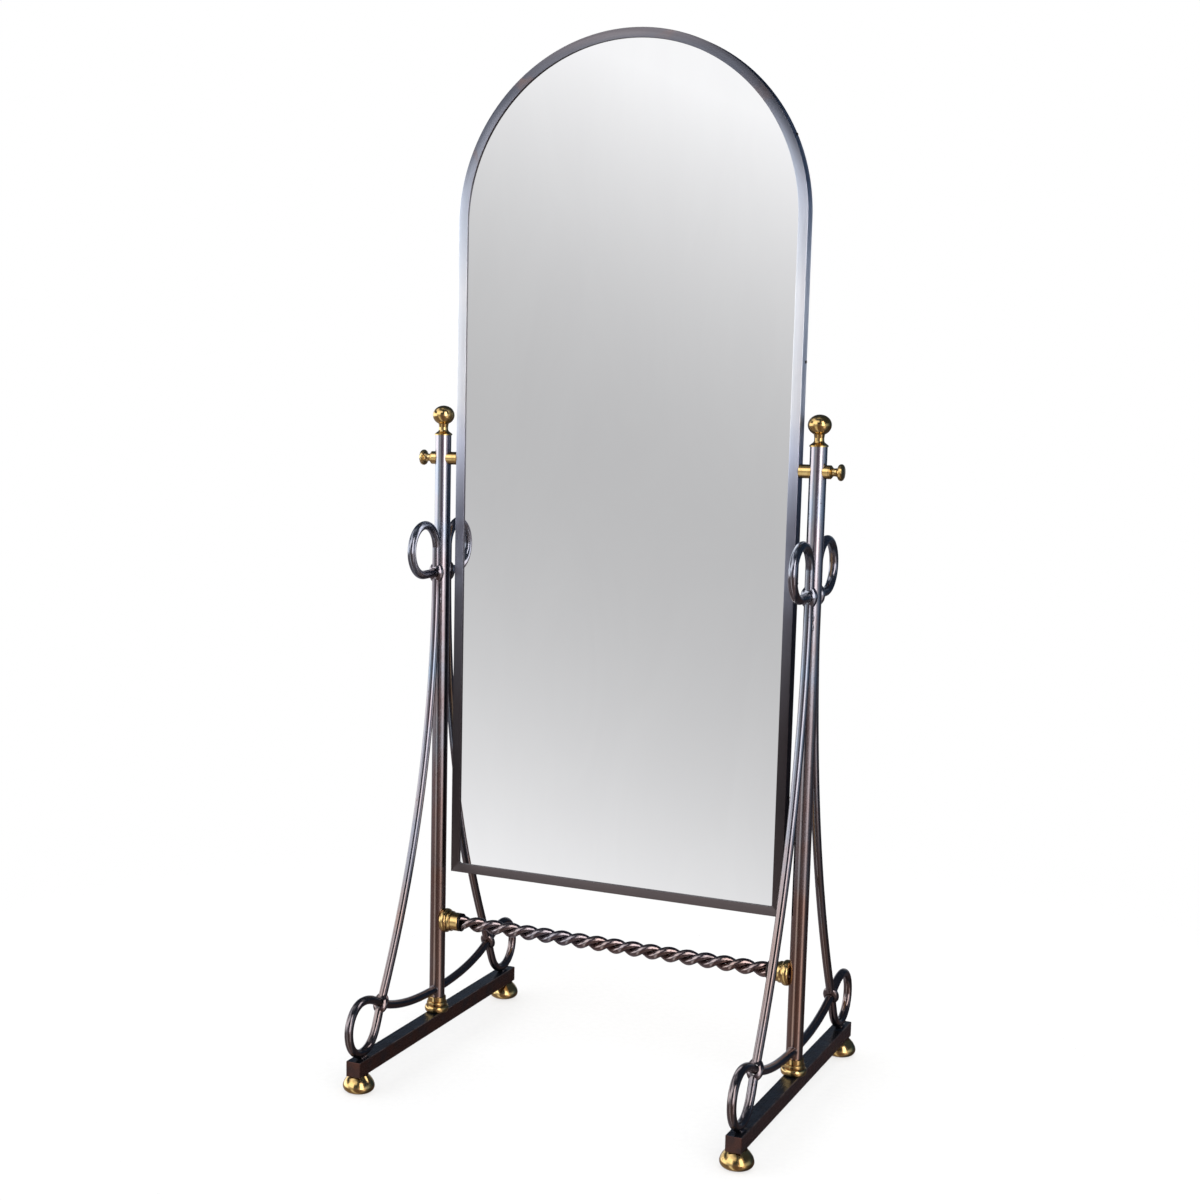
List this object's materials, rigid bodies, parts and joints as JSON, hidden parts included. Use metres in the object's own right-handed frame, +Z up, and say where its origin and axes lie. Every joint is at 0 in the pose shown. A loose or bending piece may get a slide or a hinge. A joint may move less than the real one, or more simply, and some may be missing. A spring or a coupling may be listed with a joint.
{
  "type": "cheval floor mirror",
  "caption": "Free-standing full-length mirror with an arched steel frame, tilting between two steel posts with looped rod braces, a twisted stretcher and brass fittings.",
  "frame": {"origin": "on the floor, midway between the two stands and under the pivot axis", "axes": "+Z up, front of the mirror toward -Y, +X to the right seen from the front; the pivot axis runs along X"},
  "size_m": [0.7618, 0.664, 1.7765],
  "materials": {
    "burnished_steel": "burnished, satin polish with a brown and blue-grey bloom",
    "bar_steel": "blackened, waxed",
    "frame_steel": "brushed and waxed",
    "brass": "turned and polished",
    "dark_steel": "blackened",
    "stud_steel": "machined",
    "mirror_glass": "silvered glass",
    "felt": "pressed felt",
    "plywood": "stained plywood"
  },
  "bodies": {
    "stand": {"base_bar_left": "bar_steel", "post_left": "burnished_steel", "post_collar_left": "brass", "finial_left": "brass", "stretcher_collar_left": "brass", "stretcher_ring_left": "dark_steel", "pivot_inner_spacer_left": "brass", "foot_left_front": "brass", "brace_left_front": "burnished_steel", "foot_left_back": "brass", "brace_left_back": "burnished_steel", "base_bar_right": "bar_steel", "post_right": "burnished_steel", "post_collar_right": "brass", "finial_right": "brass", "stretcher_collar_right": "brass", "stretcher_ring_right": "dark_steel", "pivot_inner_spacer_right": "brass", "foot_right_front": "brass", "brace_right_front": "burnished_steel", "foot_right_back": "brass", "brace_right_back": "burnished_steel", "stretcher_strand_a": "burnished_steel", "stretcher_strand_b": "burnished_steel"},
    "mirror": {"mirror_frame": "frame_steel", "mirror_glass": "mirror_glass", "mirror_felt": "felt", "mirror_backboard": "plywood", "frame_screws": "dark_steel", "pivot_stud_left": "stud_steel", "pivot_stud_right": "stud_steel"},
    "outer_spacer_left": {"pivot_outer_spacer_left": "brass"},
    "knob_left": {"pivot_knob_left": "brass"},
    "outer_spacer_right": {"pivot_outer_spacer_right": "brass"},
    "knob_right": {"pivot_knob_right": "brass"}
  },
  "joints": [
    {"name": "mirror_tilt", "type": "hinge", "parent": "stand", "child": "mirror", "pos_m": [0, 0, 1.0685], "axis": [1, 0, 0], "range_deg": [-180, 180]},
    {"name": "spacer_left_slide", "type": "slide", "parent": "stand", "child": "outer_spacer_left", "axis": [-1, 0, 0], "range_m": [0, 0.0025]},
    {"name": "knob_left_turn", "type": "hinge", "parent": "outer_spacer_left", "child": "knob_left", "pos_m": [-0.338, 0, 1.0685], "axis": [-1, 0, 0], "range_deg": [0, 720]},
    {"name": "spacer_right_slide", "type": "slide", "parent": "stand", "child": "outer_spacer_right", "axis": [1, 0, 0], "range_m": [0, 0.0025]},
    {"name": "knob_right_turn", "type": "hinge", "parent": "outer_spacer_right", "child": "knob_right", "pos_m": [0.338, 0, 1.0685], "axis": [1, 0, 0], "range_deg": [0, 720]}
  ],
  "couplings": [
    {"joint": "knob_left_turn", "follows": "spacer_left_slide", "rad_per_m": 5026.5},
    {"joint": "knob_right_turn", "follows": "spacer_right_slide", "rad_per_m": 5026.5}
  ]
}
